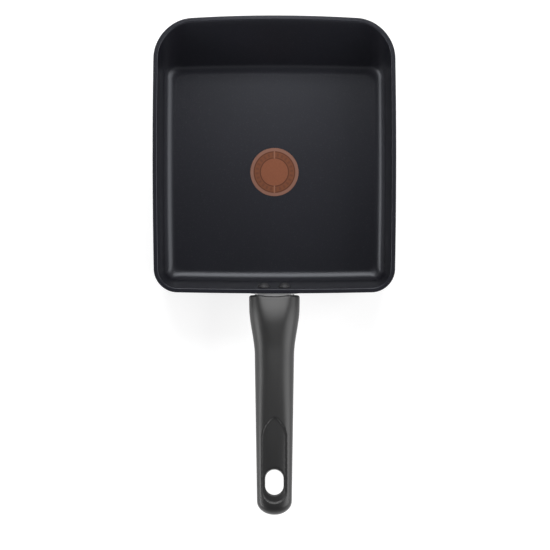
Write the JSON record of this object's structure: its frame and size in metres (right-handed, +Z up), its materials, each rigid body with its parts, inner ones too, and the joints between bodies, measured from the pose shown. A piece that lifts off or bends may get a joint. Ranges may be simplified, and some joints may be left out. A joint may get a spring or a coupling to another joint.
{
  "type": "tamagoyaki pan",
  "caption": "Rectangular rolled-omelette pan with a sloped far wall, a coated inside with a round heat-indicator spot, and a fixed riveted handle with a hang hole.",
  "frame": {"origin": "centre of the flat base's underside", "axes": "+Z up out of the pan, +Y from the handle towards the far sloped wall, +X to the right with the handle pointing at the viewer"},
  "size_m": [0.163, 0.3303, 0.0691],
  "materials": {
    "pan_coating": "aluminium with a dark grey satin non-stick coating inside and a dark coating outside",
    "indicator": "matte copper-brown printed spot",
    "rivets": "dark coated heads",
    "bracket": "black painted pressed steel",
    "guard": "satin stainless sheet",
    "handle": "black-grey satin phenolic moulding",
    "fasteners": "zinc-plated steel"
  },
  "bodies": {
    "root": {"pan_body": "pan_coating", "heat_indicator": "indicator", "rivet_left": "rivets", "rivet_right": "rivets", "handle_bracket": "bracket", "flame_guard": "guard", "grip": "handle", "tongue_nut": "fasteners", "grip_screw": "fasteners", "screw_washer": "fasteners"}
  },
  "joints": []
}
